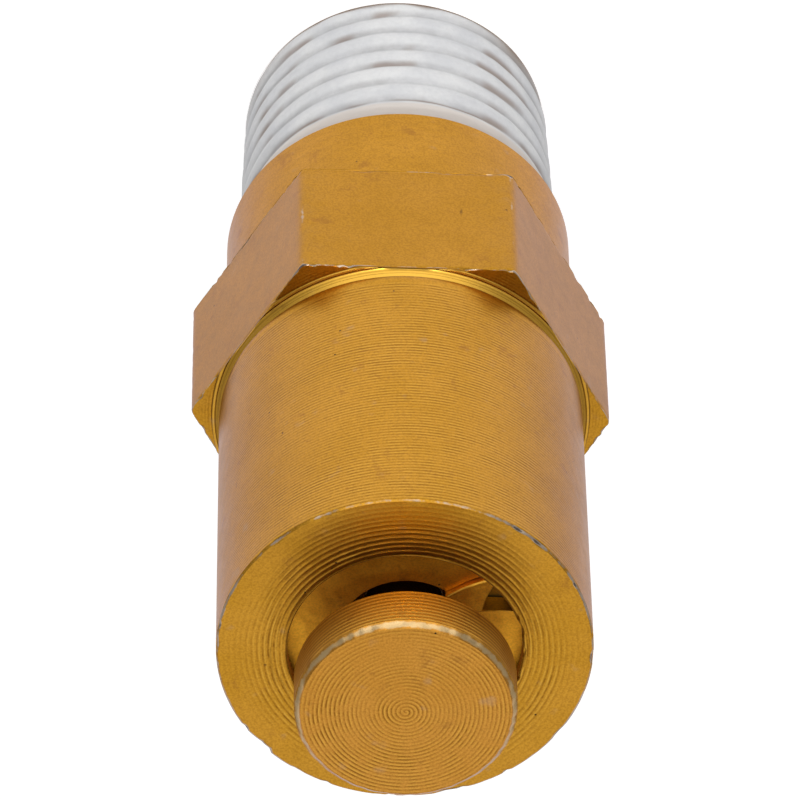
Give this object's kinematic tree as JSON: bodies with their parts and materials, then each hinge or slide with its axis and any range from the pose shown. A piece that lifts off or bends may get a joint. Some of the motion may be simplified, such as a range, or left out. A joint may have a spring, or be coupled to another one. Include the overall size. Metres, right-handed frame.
{
  "type": "automatic air vent",
  "caption": "Gold-coloured air vent with a sealed taper pipe thread, hexagon, turned barrel and a sprung mushroom-headed plunger that closes under flow.",
  "frame": {"origin": "centre of the threaded inlet end, the lowest point on the vent's axis", "axes": "+Z along the axis from the inlet end to the plunger; two flats of the hexagon face +Y and -Y, and two of its corners point along +X and -X"},
  "size_m": [0.0184, 0.0158, 0.0429],
  "materials": {
    "body_gold": "gold-anodised turned aluminium, worn to bare metal at the edges",
    "plunger_gold": "gold-anodised turned aluminium, worn silver at the rim",
    "ring_gold": "gold-anodised aluminium, dark in the recess",
    "dry_sealant": "dry white thread sealant, matte",
    "inner_brass": "plain turned brass",
    "inner_steel": "plain stainless steel",
    "seal_rubber": "matte black rubber",
    "stop_plastic": "off-white plastic"
  },
  "bodies": {
    "housing": {"body": "body_gold", "thread_sealant": "dry_sealant", "retaining_ring": "ring_gold", "guide_bush": "inner_brass", "stop_washer": "stop_plastic", "seat_ring": "inner_brass", "seat_o_ring": "seal_rubber", "spacer_sleeve": "inner_steel", "spring_washer": "inner_steel", "return_spring": "inner_steel", "inlet_screen": "inner_steel", "screen_snap_ring": "inner_steel"},
    "plunger": {"plunger": "plunger_gold", "spring_cup": "inner_steel", "stem_clip": "inner_steel", "seal_clamp_washer": "inner_steel", "poppet_seal": "seal_rubber", "poppet_plate": "inner_brass", "lock_washer": "inner_steel", "poppet_nut": "inner_steel"}
  },
  "joints": [
    {"name": "plunger_slide", "type": "slide", "parent": "housing", "child": "plunger", "axis": [0, 0, 1], "range_m": [0, 0.0015], "stiffness_N_per_m": 60, "springref_m": -0.002, "deforming": ["return_spring"]}
  ]
}
